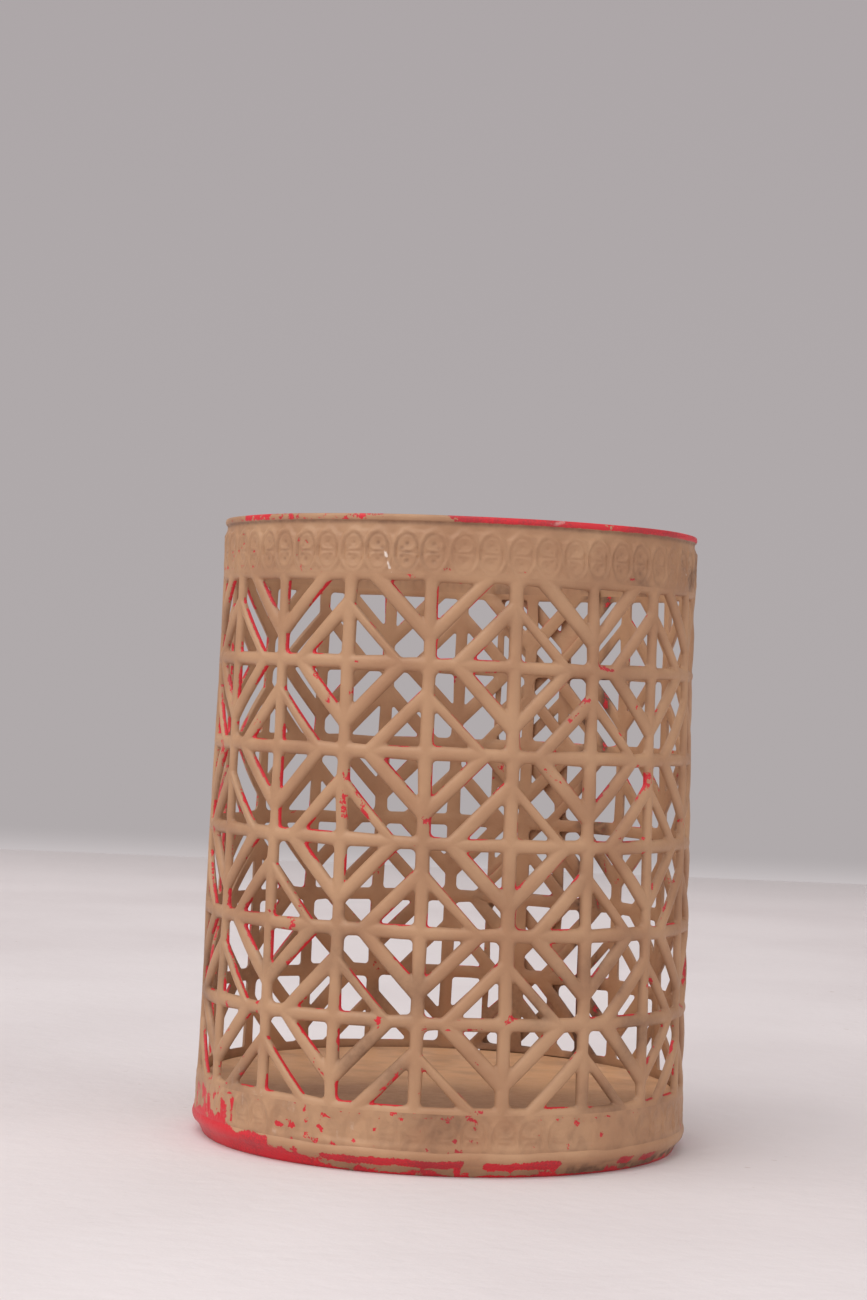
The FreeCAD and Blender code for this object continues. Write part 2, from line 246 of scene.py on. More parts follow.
def cell_outlines():
    """One cell, whose long slot runs from its lower left to its upper right corner.

    Each entry is the outline of the bars' middle lines, that of the hole, the corners' radii, how far
    each corner moves when the slot's side is moved by one, and the points per side.
    A line beside the slot is moved along the wall by its distance times diagonal / height of the cell.
    """
    wide, tall = CELL_WIDE, ROW_PITCH
    half, rise = UPRIGHT_BAR / 2, LEVEL_BAR / 2
    diagonal = math.hypot(wide, tall)

    def rise_of(distance, u=0.0):
        return u * tall / wide + distance * diagonal / wide

    def run_of(distance, v=0.0):
        return v * wide / tall + distance * diagonal / tall

    edge = SLOT_WIDTH / 2
    line = edge + DIAGONAL_BAR / 2
    far = edge + DIAGONAL_BAR

    def half_turned(outline):
        return [(wide - u, tall - v) for u, v in outline]

    slot_region = [(0, 0), (run_of(line), 0), (wide, tall - rise_of(line))]
    slot_region += [(wide, tall), (wide - run_of(line), tall), (0, rise_of(line))]
    slot_hole = [
        (half, rise),
        (run_of(edge, rise), rise),
        (wide - half, tall - rise_of(edge, half)),
        (wide - half, tall - rise),
        (wide - run_of(edge, rise), tall - rise),
        (half, rise_of(edge, half)),
    ]
    across, down = diagonal / tall, -diagonal / wide
    near_side, far_side = [(across, 0), (0, down)], [(FAR_SHARE * across, 0), (0, FAR_SHARE * down)]
    slot_moves = [(0, 0), *near_side, (0, 0), *far_side]
    tri_region = [(0, rise_of(line)), (wide - run_of(line), tall), (0, tall)]
    tri_hole = [(half, rise_of(far, half)), (wide - run_of(far, rise), tall - rise), (half, tall - rise)]
    still = [(0, 0)] * 3
    return [
        (slot_region, slot_hole, SLOT_CORNERS, slot_moves, (5, 9, 5, 5, 9, 5)),
        (tri_region, tri_hole, TRIANGLE_CORNERS, still, (9, 7, 7)),
        (half_turned(tri_region), half_turned(tri_hole), TRIANGLE_CORNERS, still, (9, 7, 7)),
    ]


# the section of a bar, from the back of its middle line round its edge to the front of its middle line:
# share of the way from the edge to the middle line, and lift
BAR_SECTION = np.array([
    (1.00, -GAUGE), (0.16, -GAUGE), (0.00, -GAUGE + 0.08), (0.00, -0.44),
    (0.05, -0.31), (0.16, -0.14), (0.35, 0.03), (0.62, CROWN - 0.055), (1.00, CROWN),
])
EDGE_ROWS = np.array([0.0, 0.0, 0.7, 1.0, 0.9, 0.42, 0.0, 0.0, 0.0])
BACK_LIFT = -0.4


def lumps(along, z):
    """Thick paint: soft swellings a few millimetres across, and finer ones on them."""
    return 0.09 * (cloud(along, z, 3.4, 12) - 0.5) + 0.05 * (cloud(along, z, 1.2, 13) - 0.5)


RUST_AZIMUTH = 136.4


def lattice_fields(s, z, edge, facing):
    """How much undercoat, dirt and bare metal show on the bars, from 0 to 1.

    edge is 1 along the sides of a bar, and facing is high on the sides that look right and up: there the
    paint is worn to a thin line. Rust spreads beside the tucked end of the strip. The dark colour also
    carries painted shade: on the sides of the bars, and in the gap at the tucked end of the strip.
    """
    azimuth = front_azimuth(s, z)
    along = np.radians(azimuth) * WALL_FOOT_RADIUS
    patchy = cloud(along, z, 8.0, 3) * 0.55 + cloud(along, z, 2.0, 4) * 0.45
    outer_end = 0.45 * smooth(0.10, 0.0, s) + 0.4 * smooth(CELLS - 0.06, CELLS, s)
    nicks = 0.9 * ridge(z - 22, 1.4) * np.maximum(ridge(azimuth + 47, 0.9), ridge(azimuth + 14, 0.8))
    line = edge * smooth(0.0, 0.75, facing) * (0.12 + 1.0 * smooth(0.28, 0.6, patchy))
    line = line * (1 - 0.22 * smooth(-48, -66, azimuth))
    rust = ridge(azimuth - RUST_AZIMUTH, 1.5) * (0.45 + 0.75 * smooth(0.3, 0.6, cloud(along, z, 3.2, 7)))
    rubbed = 0.5 * edge * smooth(0.62, 0.8, patchy)
    chips = 0.55 * smooth(0.72, 0.82, cloud(along, z, 1.3, 5)) * smooth(0.62, 0.8, cloud(along, z, 9.0, 6))
    red = np.maximum.reduce([line, rubbed, chips, outer_end, nicks, 0.45 * rust])
    low = smooth(45, 12, z)
    # 1.3 * smooth(0.16, 0.08, s) is a painted shadow in the gap between the layers at the tucked end
    dirt_and_shade = (0.12 + 0.4 * low) * smooth(0.45, 0.85, cloud(along, z, 6.0, 8)) + 1.3 * smooth(0.16, 0.08, s)
    # 0.2 * edge is painted shade on the sides of the bars
    dirt_and_shade = dirt_and_shade + 1.4 * ridge(azimuth + 33, 1.0) * ridge(z - 15, 0.6) + 1.1 * rust + 0.05 + 0.2 * edge
    left = smooth(-75, -62, azimuth) * smooth(-22, -32, azimuth)
    pale = 0.34 * left * low * smooth(0.5, 0.75, cloud(along, z * 0.3, 2.4, 9))
    return red, dirt_and_shade, pale


def cell_rings(outline, column, row, rng):
    """One hole of every cell, with half of each bar round it: points, faces, and what the wear needs.

    Rows of points run from the back of the bars' middle lines over the hole's edge to the front of them.
    The cell is turned over left to right in every second place, so that four cells make a star.
    """
    region, hole, radii, moves, counts = outline
    rising = (column - (CELLS - 11) + row) % 2 == 1
    hole = np.array(hole, float)[None] + rng.normal(0, UNEVEN, (len(column), len(counts), 2))
    hole += np.where(rising, 0.0, SLOT_SHIFT)[:, None, None] * np.array(moves, float)
    radius = np.array(radii) * rng.uniform(0.7, 1.35, hole.shape[:2])
    inner, outer = ring(np.array(region, float), hole, counts, radius)

    share, lift = BAR_SECTION[:, 0][None, :, None, None], BAR_SECTION[:, 1][None, :, None]
    flat = inner[:, None] + share * (outer[None, None] - inner[:, None])
    across = np.where(rising[:, None, None], flat[..., 0], CELL_WIDE - flat[..., 0])
    s = column[:, None, None] + across / CELL_WIDE
    z = LATTICE_FOOT + row[:, None, None] * ROW_PITCH + flat[..., 1]
    points = place(s, z, lift + np.where(lift > BACK_LIFT, lumps(s * CELL_WIDE, z), 0.0))

    outward = inner - outer[None]
    outward /= np.linalg.norm(outward, axis=2, keepdims=True)
    sideways = np.where(rising[:, None], outward[..., 0], -outward[..., 0])
    facing = np.broadcast_to((0.8 * sideways + 0.5 * outward[..., 1])[:, None], s.shape)
    edge = np.broadcast_to(EDGE_ROWS[None, :, None], s.shape)

    rows, columns = s.shape[1:]
    start = np.arange(len(column))[:, None, None] * rows * columns
    faces = grid_faces(rows, columns, close_columns=True)[None] + start
    return points.reshape(-1, 3), faces.reshape(-1, 4), [value.ravel() for value in (s, z, edge, facing)]


def make_lattice():
    """Every cell of the strip: three rings of faces each, round the holes, in the bars' section."""
    rng = np.random.default_rng(11)
    column, row = [index.ravel() for index in np.meshgrid(np.arange(CELLS), np.arange(ROWS), indexing="ij")]
    points, faces, measures, first = [], [], [], 0
    for outline in cell_outlines():
        some_points, some_faces, some_measures = cell_rings(outline, column, row, rng)
        points.append(some_points)
        faces.append(some_faces + first)
        measures.append(some_measures)
        first += len(some_points)
    red, dirt_and_shade, pale = lattice_fields(*np.concatenate(measures, axis=1))
    fields = {"red": red, "dirt_and_shade": dirt_and_shade, "pale": pale}
    piece = make_mesh("lattice", np.concatenate(points), np.concatenate(faces), fields)
    return finish_mesh(piece, bridge=True)


# ---- the bands ---------------------------------------------------------------------------------

ROUNDEL_PITCH = CELL_WIDE * 2 / 3
ROUNDEL_START = 2.4
BAND_COLUMNS = CELLS * 64


def roundel_places(along, up):
    """How far a point of the band lies from the lines of its roundel.

    A roundel is a pair of upright ovals, each with a scroll of two loops in it. The distances are those
    to the nearer oval, to its scroll, and to the nearest of the small dents in and beside the loops. From
    an oval it is the stretched distance from its middle, less 1.
    """
    x = (along / ROUNDEL_PITCH - np.round(along / ROUNDEL_PITCH)) * ROUNDEL_PITCH
    side, high = np.abs(x) - 2.0, np.abs(up)
    oval = (np.hypot(side / 2.08, up / 3.2) - 1) * 2.5
    scroll = (np.hypot(side / 1.25, (high - 1.25) / 1.08) - 1) * 1.15
    dash = np.hypot(side * 0.45, up * 1.2)
    dent = np.minimum(np.hypot(side, high - 1.25), np.hypot(side - 0.75, high - 0.55))
    return oval, scroll, np.minimum(dash, dent)


def roundels(along, up):
    """Relief of a row of roundels."""
    oval, scroll, dent = roundel_places(along, up)
    lines = 0.28 * ridge(oval, 0.33) + 0.17 * ridge(scroll, 0.3)
    return lines - 0.14 * ridge(oval + 0.55, 0.2) - 0.18 * ridge(dent, 0.28)


def roundel_dents(along, up):
    """Where paint has worn off or dirt sits: in the dents and just inside the ovals."""
    oval, scroll, dent = roundel_places(along, up)
    return np.maximum(ridge(dent, 0.33), 0.6 * ridge(oval + 0.4, 0.28))


def sheet_band(name, profile, relief, fields, start=0.0):
    """A band of the strip: a section of (height, lift, share of relief) rows carried along the strip.

    The section is closed round its back, and both ends of the strip are closed by the section itself.
    """
    columns = int(BAND_COLUMNS * (1 - start / CELLS))
    s = np.linspace(start, CELLS, columns)
    z = np.broadcast_to(profile[:, 0][:, None], (len(profile), columns))
    along = np.broadcast_to(s * CELL_WIDE, z.shape)
    lift = profile[:, 1][:, None] + profile[:, 2][:, None] * relief(along, z)
    grid = np.broadcast_to(s, z.shape)
    points = place(grid, z, lift).reshape(-1, 3)
    faces = grid_faces(len(profile), columns, close_rows=True)
    front = np.broadcast_to(profile[:, 2][:, None] > 0, z.shape)
    values = fields(grid, z, front)
    piece = make_mesh(name, points, faces, {key: value.ravel() for key, value in values.items()})
    work = bmesh.new()
    work.from_mesh(piece.data)
    bmesh.ops.holes_fill(work, edges=[edge for edge in work.edges if edge.is_boundary])
    bmesh.ops.recalc_face_normals(work, faces=work.faces)
    work.to_mesh(piece.data)
    work.free()
    shade(piece)
    return piece


BELT_MIDDLE = 89.5
HEM_LOW = 94.0


def top_relief(along, z):
    """The upper band: a raised belt with a scalloped upper edge, roundels on it, a groove above it.

    At its lower edge it runs level into the crowns of the bars.
    """
    wave = np.abs(np.cos(np.pi * (along - ROUNDEL_START) / ROUNDEL_PITCH))
    belt = smooth(0, 0.6, BELT_MIDDLE + 2.65 + 0.8 * wave - z)
    softness = 0.65 + 0.45 * cloud(along, z, 9.0, 21)
    roundel = softness * roundels(along - ROUNDEL_START, z - BELT_MIDDLE)
    band = 0.22 * belt - 0.08 + roundel + 1.3 * lumps(along, z)
    bar = CROWN + lumps(along, z)
    return bar + (band - bar) * smooth(0.0, 1.5, z - LATTICE_TOP)


def rim_wear(azimuth):
    """How bare the rim is: all red from the middle of the front round to the right, patchy elsewhere."""
    right = smooth(-5, 1, azimuth) * (1 - smooth(84, 100, azimuth))
    left = smooth(-72, -60, azimuth) * (1 - smooth(-40, -34, azimuth))
    middle = smooth(-36, -32, azimuth) * (1 - smooth(-18, -14, azimuth))
    return 0.24 + 0.76 * right + 0.32 * left + 0.24 * middle


def top_fields(s, z, front):
    """Wear of the upper band: the bare hem, specks of undercoat in the roundels, a few bare flecks."""
    azimuth = front_azimuth(s, z)
    along = s * CELL_WIDE
    hem = smooth(HEM_LOW - 0.05, HEM_LOW + 0.2, z)
    run = 0.55 * cloud(along * 0.3, z, 1.8, 32) + 0.45 * cloud(along * 0.7, z, 0.8, 33)
    rim = hem * np.clip(rim_wear(azimuth) + 0.9 * (run - 0.5), 0, 1.1)
    dents = roundel_dents(along - ROUNDEL_START, z - BELT_MIDDLE)
    cluster = ridge(azimuth + 38, 7.0) * smooth(93, 91, z) * (0.6 + 0.4 * dents)
    speck = 0.40 * dents * smooth(0.45, 0.7, cloud(along, z, 3.0, 35)) * (0.5 + smooth(-5, -60, azimuth))
    arcs = 0.42 * ridge(z - LATTICE_TOP - 0.9, 0.5) * smooth(0.5, 0.75, cloud(along, 0 * z, 2.2, 36))
    red = np.maximum.reduce([rim, 0.40 * cluster, speck * (1 - hem), arcs])
    fleck = ridge(azimuth + 17.4 - 0.5 * (90 - z), 0.4) * (z < 90.4) * (z > 86.4)
    fleck = fleck * smooth(0.35, 0.6, cloud(along, z, 0.6, 37))
    right_fleck = 0.5 * ridge(azimuth - 68, 3.0) * smooth(0.55, 0.7, cloud(along, z, 0.7, 38)) * (z < 90)
    scrape = 0.5 * hem * ridge(azimuth - 24, 7.0) * smooth(0.6, 0.75, cloud(along * 0.5, z, 0.8, 34))
    pale = np.maximum.reduce([fleck, right_fleck, scrape]) * front
    smudge = smooth(40, 52, azimuth) * smooth(0.5, 0.75, cloud(along, z, 4.5, 40))
    dirt_and_shade = 0.14 + 0.4 * dents * smooth(0.3, 0.7, cloud(along, z, 8, 39)) + 0.5 * smudge
    # painted shade under the hem: the groove is darkened where the hem shades it
    groove_shade = smooth(HEM_LOW - 0.7, HEM_LOW - 0.15, z) * (1 - hem)
    return {"red": red * front, "dirt_and_shade": np.clip(dirt_and_shade + 0.5 * groove_shade, 0, 1), "pale": pale}


def make_top_band():
    """The upper band with its folded hem, whose section is half a turn of a small round."""
    front = [(z, 0.0, 1.0) for z in np.arange(LATTICE_TOP + 0.2, HEM_LOW - 0.05, 0.17)]
    hem_middle, hem_half = (HEM_LOW + HEIGHT) / 2, (HEIGHT - HEM_LOW) / 2
    turns = np.radians(np.linspace(-80, 88, 9))
    hem = [(hem_middle + hem_half * math.sin(a), -0.02 + 0.26 * math.cos(a), 0.02) for a in turns]
    back = [(HEIGHT - 0.02, -0.35, 0.0), (HEIGHT - 0.18, -GAUGE + 0.08, 0.0), (HEIGHT - 0.5, -GAUGE, 0.0)]
    back += [(z, -GAUGE, 0.0) for z in np.linspace(HEIGHT - 2.0, LATTICE_TOP, 5)]
    profile = np.array([(LATTICE_TOP, 0.0, 1.0)] + front + hem + back)
    return sheet_band("top_band", profile, top_relief, top_fields)


LOW_BELT_MIDDLE = 5.6
SCUFF_AZIMUTHS = [-115, -95, -74, -58, -46, -36, -26, -16]
SCUFF_HEIGHTS = [0.6, 3.4, 5.0, 4.6, 3.4, 2.6, 1.5, 0.0]


def low_relief(along, z):
    """The lower band: the same roundels, half filled with paint, on a sheet that is a little dented.

    At its upper edge it runs level into the crowns of the bars.
    """
    softness = 0.2 + 0.5 * smooth(0.35, 0.8, cloud(along, z, 14.0, 41))
    waver = 0.24 * (cloud(along, z, 6.0, 42) - 0.5) + 0.14 * (cloud(along, z, 2.4, 43) - 0.5)
    band = 0.1 + softness * roundels(along - ROUNDEL_START, z - LOW_BELT_MIDDLE) + waver
    band = band + (0.25 - band) * smooth(5.0, 4.0, z)
    bar = CROWN + lumps(along, z)
    return bar + (band - bar) * smooth(0.0, 1.8, LATTICE_FOOT - z)


def scuffed_height(azimuth):
    """How high the worn patch at the lower left reaches: highest at the left, gone by the middle."""
    return np.interp(azimuth, SCUFF_AZIMUTHS, SCUFF_HEIGHTS)


def low_wear(azimuth, along, z):
    """The worn patch, the upward streaks that its top edge breaks into, and two scrapes beside it."""
    edge = scuffed_height(azimuth) + 2.2 * (cloud(along, z, 1.7, 51) - 0.5)
    solid = 0.5 + 0.6 * (edge - z)
    left = smooth(-104, -84, azimuth) * (1 - smooth(-56, -42, azimuth))
    upright = 0.6 * cloud(along, z * 0.2, 0.8, 53) + 0.4 * cloud(along, z * 0.5, 2.0, 54)
    streaks = 0.75 * smooth(0.42, 0.66, upright) * left
    scrapes = 0.85 * np.maximum(ridge(azimuth + 37.5, 1.7), ridge(azimuth + 34, 1.3)) * ridge(z - 5.6, 0.5)
    return np.clip(np.maximum.reduce([solid, streaks * smooth(9.6, 7.0, z), scrapes]), 0, 1.1)


def low_fields(s, z, front):
    """Wear of the lower band: the scuffed corner, specks of undercoat, and grime in upright smears."""
    azimuth = front_azimuth(s, z)
    along = np.radians(azimuth) * WALL_FOOT_RADIUS
    speck = 0.5 * smooth(0.70, 0.82, cloud(along, z, 1.0, 55)) * smooth(0.35, 0.6, cloud(along, z, 7.0, 56))
    top_line = 0.45 * ridge(z - LATTICE_FOOT + 0.6, 0.3) * smooth(0.5, 0.7, cloud(along, 0 * z, 2.0, 50))
    red = np.maximum.reduce([low_wear(azimuth, along, z), speck, top_line])
    upright = smooth(0.55, 0.85, cloud(along, z * 0.22, 1.1, 57))
    upright = upright * smooth(0.2, 0.7, cloud(along, z, 3.0, 47))
    pale = 0.42 * upright * (1 - smooth(-14, -4, azimuth)) * smooth(-75, -60, azimuth)
    smear = 0.34 * smooth(0.4, 0.8, cloud(along, z * 0.3, 2.6, 58))
    smear = smear * smooth(0.2, 0.8, cloud(along, z, 11.0, 59))
    fine_mottle = 0.16 * smooth(0.4, 0.8, cloud(along, z * 0.7, 0.9, 60))
    broad_mottle = 0.12 * smooth(0.4, 0.7, cloud(along, z, 4.0, 48))
    joint = 0.10 * smooth(4.3, 3.8, z)
    dirt_and_shade = np.clip(smear + (fine_mottle + broad_mottle) + joint, 0, 1)
    return {"red": red * front, "dirt_and_shade": dirt_and_shade, "pale": pale * front}


def make_low_band():
    """The lower band, down to its cut edge inside the lip of the pan; it starts beyond the seam."""
    front = [(z, 0.0, 1.0) for z in np.arange(LATTICE_FOOT - 0.2, 2.4, -0.19)]
    edge = [(2.25, -0.1, 0.0), (2.25, -GAUGE, 0.0)]
    back = [(z, -GAUGE, 0.0) for z in np.linspace(3.0, LATTICE_FOOT, 5)]
    profile = np.array([(LATTICE_FOOT, 0.0, 1.0)] + front + edge + back)
    return sheet_band("low_band", profile, low_relief, low_fields, start=OVERLAP_CELLS + 0.03)


# ---- the pan -----------------------------------------------------------------------------------

# radius and height of the pan's outside, from the foot outwards and up to the lip
PAN_OUTSIDE = [
    (36.35, 0.05), (36.5, 0.0), (36.72, 0.03), (36.86, 0.2), (37.05, 0.6), (37.3, 1.1), (37.6, 1.55),
    (37.92, 1.85), (38.18, 2.1), (38.36, 2.4), (38.45, 2.75), (38.46, 3.1), (38.38, 3.4), (38.28, 3.62),
    (38.16, 3.8), (38.04, 3.9),
]
PAN_COLUMNS = 900
FLOOR_RISE = 9.0
SKIRT_RADIUS = 36.7


def pan_fields(azimuth, y, z, floor):
    """Wear of the pan: the scuffed corner, a bare line under the bead, a bare lower edge, and dust.

    The floor is dusty at the back; towards the front it carries painted shade from the near wall, as
    less dust and more of the dark colour. Below the bead the outside carries painted shade as well.
    """
    along = np.radians(azimuth) * WALL_FOOT_RADIUS
    patch = low_wear(azimuth, along, z)
    wander = 0.4 * (cloud(along, z * 0.2, 4.0, 61) - 0.5)
    front_line = smooth(-30, -22, azimuth) * (1 - smooth(5, 6.5, azimuth))
    right_line = smooth(9.5, 11, azimuth) * (1 - smooth(27, 29, azimuth))
    right_line = right_line * (1 + 0.8 * smooth(20, 27, azimuth))
    dashes = 0.9 * smooth(40, 44, azimuth) * (1 - smooth(58, 63, azimuth))
    dashes = dashes * smooth(0.35, 0.5, cloud(along, 0 * z, 1.9, 62))
    around = 0.8 * smooth(0.45, 0.6, cloud(along, 0 * z, 9.0, 63)) * (np.abs(azimuth) > 90)
    blob = 0.9 * ridge(azimuth - 4.6, 1.1) * smooth(2.3, 2.0, z) * smooth(-0.2, 0.4, z)
    line = 1.2 * ridge(z - 1.8 - wander, 0.62) * np.maximum.reduce([front_line, right_line, dashes, around])
    bottom = 0.8 * smooth(0.5, 0.15, z) * smooth(0.3, 0.5, cloud(along, 0 * z, 5.0, 65))
    red = np.maximum.reduce([patch, line, blob, bottom]) * (1 - floor)
    right = smooth(26, 34, azimuth) * (1 - smooth(75, 95, azimuth))
    # painted shade: the lowest part of the pan, turned under towards the table below the bead, is darkened
    under = 0.45 * smooth(1.5, 0.9, z) * (1 - floor)
    dirt_and_shade = under + right * smooth(0.3, 0.6, cloud(along, z * 1.6, 1.3, 66)) * smooth(2.3, 0.9, z)
    # painted shade: the front of the floor, in the near wall's shadow, gets more of the dark colour and less
    # dust
    shaded = floor * smooth(12, -20, y)
    dirt_and_shade = np.clip(dirt_and_shade, 0, 1) + 0.55 * shaded
    return {"red": red, "dirt_and_shade": dirt_and_shade, "pale": 0 * z, "dust": floor * (1 - 0.8 * shaded)}


def pan_section():
    """The pan's closed section as radius and height: outside, inside of the lip, skirt, floor, underside."""
    lip = [(38.0, 3.85), (38.0, 2.15), (37.4, 2.12), (SKIRT_RADIUS, 2.12), (SKIRT_RADIUS, 4.5)]
    bend = [(1.0, 0.0), (0.5, 0.12), (0.15, 0.4), (0.0, 0.9)]
    bend = [(SKIRT_RADIUS - inwards, FLOOR_RISE - down) for down, inwards in bend]
    floor = [(radius, FLOOR_RISE) for radius in np.linspace(SKIRT_RADIUS - 2.0, 0.4, 40)]
    under = [(radius, FLOOR_RISE - 0.5) for radius in (0.4, 12.0, 24.0, SKIRT_RADIUS - 1.6)]
    skirt = [(SKIRT_RADIUS - 0.75, FLOOR_RISE - 0.8), (SKIRT_RADIUS - 0.5, FLOOR_RISE - 1.4)]
    skirt += [(SKIRT_RADIUS - 0.5, 2.2), (36.25, 0.4)]
    return np.array(PAN_OUTSIDE + lip + bend + floor + under + skirt)


def make_pan():
    """The pressed pan: its section turned round the axis, with a dented lip and a floor that sags."""
    section = pan_section()
    azimuth = np.linspace(-180, 180, PAN_COLUMNS, endpoint=False)
    angle = np.radians(azimuth)[None, :]
    radius, z = section[:, :1] + 0 * angle, section[:, 1:] + 0 * angle
    outside = np.arange(len(section))[:, None] < len(PAN_OUTSIDE)
    on_floor = (section[:, 1:] > FLOOR_RISE - 0.2) & (section[:, :1] < SKIRT_RADIUS)
    along = WALL_FOOT_RADIUS * angle + 0 * z
    dents = 0.20 * (cloud(along, z, 5.5, 71) - 0.6) + 0.08 * (cloud(along, z, 1.8, 72) - 0.6)
    radius = radius + np.where(outside & (z > 0.3) & (z < 3.7), dents, 0.0)
    x, y = radius * np.sin(angle), -radius * np.cos(angle)
    sag = 0.12 * (cloud(x, y, 13.0, 73) - 1.0) + 0.04 * (cloud(x, y, 3.0, 74) - 1.0)
    z = z + np.where(on_floor, sag * smooth(SKIRT_RADIUS, SKIRT_RADIUS - 4, radius), 0.0)
    inner = (section[:, 1:] > 4) & (section[:, :1] < SKIRT_RADIUS + 0.01)
    values = pan_fields(azimuth[None, :] + 0 * z, y, z, 1.0 * inner + 0 * z)
    points = np.stack([x, y, z], -1).reshape(-1, 3)
    faces = grid_faces(len(section), PAN_COLUMNS, close_rows=True, close_columns=True)
    piece = make_mesh("pan", points, faces, {key: value.ravel() for key, value in values.items()})
    return finish_mesh(piece, bridge=False)


# ---- finishes ----------------------------------------------------------------------------------


def linear(red, green, blue):
    """A colour written as screen values from 0 to 255, in the renderer's linear values."""
    share = np.array([red, green, blue]) / 255
    low, high = share / 12.92, ((share + 0.055) / 1.055) ** 2.4
    return (*np.where(share <= 0.04045, low, high).tolist(), 1.0)


class Signal:
    """A socket of a material's nodes, so that sums on it read as ordinary arithmetic."""

    def __init__(self, finish, socket):
        self.finish, self.socket = finish, socket

    def math(self, operation, *values):
        return self.finish.node("ShaderNodeMath", {"operation": operation}, dict(enumerate(values)))

    def __add__(self, other):
        return self.math("ADD", self, other)

    def __sub__(self, other):
        return self.math("SUBTRACT", self, other)

    def __rsub__(self, other):
        return self.math("SUBTRACT", other, self)

    def __mul__(self, other):
        return self.math("MULTIPLY", self, other)

    __radd__ = __add__
    __rmul__ = __mul__

    def step(self, low, high):
        """0 below low, 1 above high, smooth between."""
        sockets = {"Value": self, "From Min": low, "From Max": high}
        return self.finish.node("ShaderNodeMapRange", {"interpolation_type": "SMOOTHSTEP"}, sockets)


class Finish:
    """A material and its nodes."""

    def __init__(self, name):
        self.material = bpy.data.materials.new(name)
        self.material.use_nodes = True
        self.tree = self.material.node_tree
        self.tree.nodes.clear()

    def node(self, kind, settings=None, sockets=None, output=0):
        """Adds a node: its settings first, then the values or links of its sockets."""
        node = self.tree.nodes.new(kind)
        for key, value in (settings or {}).items():
            setattr(node, key, value)
        for key, value in (sockets or {}).items():
            if isinstance(value, Signal):
                self.tree.links.new(value.socket, node.inputs[key])
            else:
                node.inputs[key].default_value = value
        return Signal(self, node.outputs[output])

    def attribute(self, name):
        """One of the numbers that the mesh holds for every vertex."""
        return self.node("ShaderNodeAttribute", {"attribute_name": name}, output=2)

    def coordinates(self):
        """Places in the object's own space, in metres."""
        return self.node("ShaderNodeTexCoord", output=3)

    def noise(self, scale, detail=2.0, roughness=0.5):
        """Cloudy values from 0 to 1; scale is in waves per metre."""
        sockets = {"Vector": self.coordinates(), "Scale": scale, "Detail": detail, "Roughness": roughness}
        return self.node("ShaderNodeTexNoise", None, sockets)

    def mix(self, factor, first, second):
        """A colour between two colours."""
        sockets = {0: factor, 6: first, 7: second}
        return self.node("ShaderNodeMix", {"data_type": "RGBA", "clamp_factor": True}, sockets, output=2)

    def surface(self, colour, roughness, bump, distance, strength=1.0):
        """Paint of a colour and roughness, with a fine relief as deep as distance."""
        relief = {"Strength": strength, "Distance": distance, "Height": bump}
        normal = self.node("ShaderNodeBump", None, relief)
        sockets = {"Base Color": colour, "Roughness": roughness, "Normal": normal}
        return self.node("ShaderNodeBsdfPrincipled", None, sockets)

    def done(self, surface):
        """Links the surface to the material's output."""
        output = self.tree.nodes.new("ShaderNodeOutputMaterial")
        self.tree.links.new(surface.socket, output.inputs["Surface"])
        return self.material


SAND = linear(187, 145, 110)
SAND_DEEP = linear(171, 127, 94)
UNDERCOAT = linear(208, 30, 44)
UNDERCOAT_DULL = linear(172, 38, 46)
GRIME_AND_SHADE = linear(92, 62, 46)
BARE = linear(228, 214, 204)
DUST = linear(228, 179, 134)
DUST_DEEP = linear(194, 149, 112)
TABLE, TABLE_SMUDGE, CRUMBS = linear(228, 221, 222), linear(219, 211, 212), linear(188, 170, 164)
TABLE_EDGE, WALL_FOOT = linear(206, 200, 201), linear(208, 201, 202)
WALL_LOW, WALL_HIGH = linear(176, 170, 171), linear(171, 164, 166)
PAINT_DEPTH = 0.00009
TABLE_DEPTH = 0.0004


def painted(name, dusty=False, extra_darkness=0.0):
    """Sand paint over a red undercoat: cloudy tone, worn-through places, grime and painted shade, bare
    flecks.

    Where the paint is partly worn, fine noise decides which specks have gone.
    """
    finish = Finish(name)
    broad, fine, grain = finish.noise(90, 3), finish.noise(850, 4, 0.62), finish.noise(3200, 2)
    spread = 1.7 * (fine - 0.5) + 0.7 * (grain - 0.5)
    sand = finish.mix(broad.step(0.35, 0.68), SAND, SAND_DEEP)
    dirt_and_shade = finish.attribute("dirt_and_shade") * (0.2 + 1.2 * fine)
    if extra_darkness:
        dirt_and_shade = dirt_and_shade + extra_darkness
    sand = finish.mix(dirt_and_shade, sand, GRIME_AND_SHADE)
    if dusty:
        dust = finish.mix(finish.noise(160, 4).step(0.35, 0.8), DUST, DUST_DEEP)
        sand = finish.mix(finish.attribute("dust"), sand, dust)
    worn = (finish.attribute("red") + spread * 0.8).step(0.46, 0.56)
    red = finish.mix((broad + 0.6 * (grain - 0.5)).step(0.45, 0.7), UNDERCOAT, UNDERCOAT_DULL)
    colour = finish.mix(worn, sand, red)
    bare = (finish.attribute("pale") + spread * 0.35).step(0.32, 0.95)
    colour = finish.mix(bare, colour, BARE)
    roughness = 0.42 + 0.2 * fine - 0.08 * worn
    relief = 0.7 * fine + 0.25 * grain - 0.45 * worn + 0.5 * broad
    return finish.done(finish.surface(colour, roughness, relief, PAINT_DEPTH))


